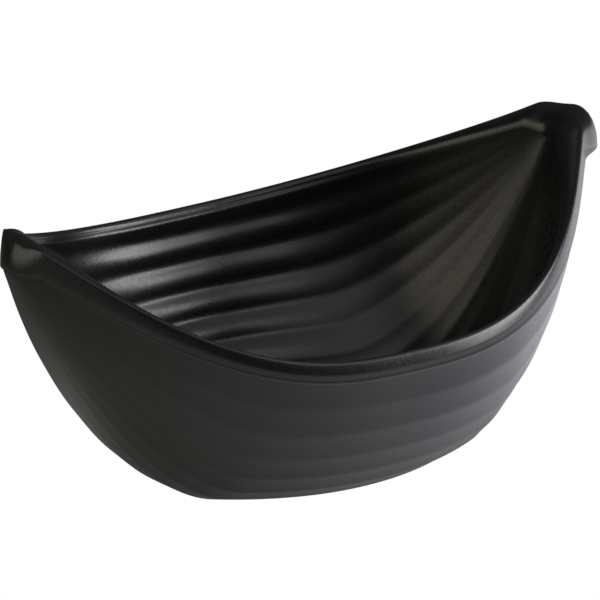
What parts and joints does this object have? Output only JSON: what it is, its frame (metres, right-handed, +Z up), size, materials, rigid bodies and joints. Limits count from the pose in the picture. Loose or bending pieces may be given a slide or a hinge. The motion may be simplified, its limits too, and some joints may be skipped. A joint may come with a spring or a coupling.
{
  "type": "serving bowl",
  "caption": "Boat-shaped serving bowl with plank ribs, a plain rim collar, raised ends with rolled lugs and a flat base; it holds food or small loose goods.",
  "frame": {"origin": "on the resting plane, under the middle of the bowl", "axes": "+X along the bowl from lug to lug, +Y across it, +Z up out of the mouth"},
  "size_m": [0.2584, 0.1756, 0.1167],
  "materials": {
    "bowl": "satin black, fine grain"
  },
  "bodies": {
    "root": {"bowl": "bowl"}
  },
  "joints": []
}
